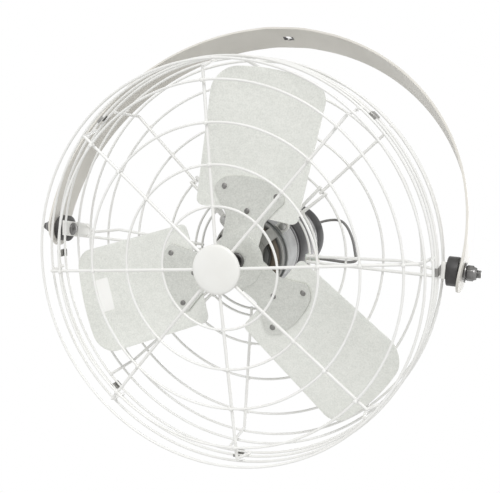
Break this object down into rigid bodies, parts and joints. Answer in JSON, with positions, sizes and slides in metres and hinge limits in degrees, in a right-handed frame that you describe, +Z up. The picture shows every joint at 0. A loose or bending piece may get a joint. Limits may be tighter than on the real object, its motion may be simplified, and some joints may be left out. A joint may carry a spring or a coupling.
{
  "type": "guarded air circulator fan",
  "caption": "Caged propeller fan head on a strap yoke that bolts to a ceiling; the head tilts on two side pivots and a motor behind the cage turns the blades.",
  "frame": {"origin": "middle of the yoke's top face, at its mounting hole", "axes": "+Z up, +X along the pivot axis, the fan blows towards -Y"},
  "size_m": [0.6102, 0.4092, 0.5893],
  "materials": {
    "guard_paint": "white powder coat, semi-gloss",
    "yoke_paint": "warm white powder coat, satin",
    "galvanised_sheet": "galvanised sheet, satin",
    "motor_paint": "black enamel, semi-gloss",
    "core_steel": "laminated steel under clear varnish",
    "zinc_plate": "bright zinc plate",
    "shaft_steel": "ground steel",
    "dark_steel": "blackened steel",
    "winding_copper": "varnished copper wire",
    "capacitor_can": "drawn aluminium can",
    "spacer_rubber": "matt black rubber",
    "cord_rubber": "dark grey sheath",
    "connector_nylon": "white moulded plastic"
  },
  "bodies": {
    "yoke": {"yoke": "yoke_paint"},
    "head": {"front_guard": "guard_paint", "center_disc": "guard_paint", "rear_guard": "guard_paint", "pivot_plate_left": "guard_paint", "pivot_plate_right": "guard_paint", "motor_front_bell": "motor_paint", "motor_rear_shell": "motor_paint", "motor_end_cap": "motor_paint", "stator_core": "core_steel", "pivot_bolt_left": "zinc_plate", "pivot_washer_left": "zinc_plate", "pivot_nut_left": "zinc_plate", "pivot_spacer_left": "spacer_rubber", "pivot_bolt_right": "zinc_plate", "pivot_washer_right": "zinc_plate", "pivot_nut_right": "zinc_plate", "pivot_spacer_right": "spacer_rubber", "motor_band": "zinc_plate", "mount_bolt_1": "zinc_plate", "mount_bolt_2": "zinc_plate", "mount_bolt_3": "zinc_plate", "mount_bolt_4": "zinc_plate", "guard_clip_1": "dark_steel", "guard_clip_2": "dark_steel", "guard_clip_3": "dark_steel", "guard_clip_4": "dark_steel", "guard_clip_5": "dark_steel", "guard_clip_6": "dark_steel", "guard_clip_7": "dark_steel", "guard_clip_8": "dark_steel", "winding_front": "winding_copper", "winding_rear": "winding_copper", "bearing_front": "shaft_steel", "bearing_rear": "shaft_steel", "run_capacitor": "capacitor_can", "cord_gland": "cord_rubber", "motor_cord": "cord_rubber", "cord_connector": "connector_nylon"},
    "rotor": {"rotor_core": "core_steel", "motor_shaft": "shaft_steel", "spider": "galvanised_sheet", "hub_collar": "dark_steel", "set_screw": "dark_steel", "blade_1": "galvanised_sheet", "blade_2": "galvanised_sheet", "blade_3": "galvanised_sheet"}
  },
  "joints": [
    {"name": "tilt", "type": "hinge", "parent": "yoke", "child": "head", "pos_m": [0, 0, -0.3118], "axis": [1, 0, 0], "range_deg": [-117, 63]},
    {"name": "spin", "type": "hinge", "parent": "head", "child": "rotor", "pos_m": [0, 0.0059, -0.32338], "axis": [0, 0.891, 0.454], "continuous": true}
  ]
}
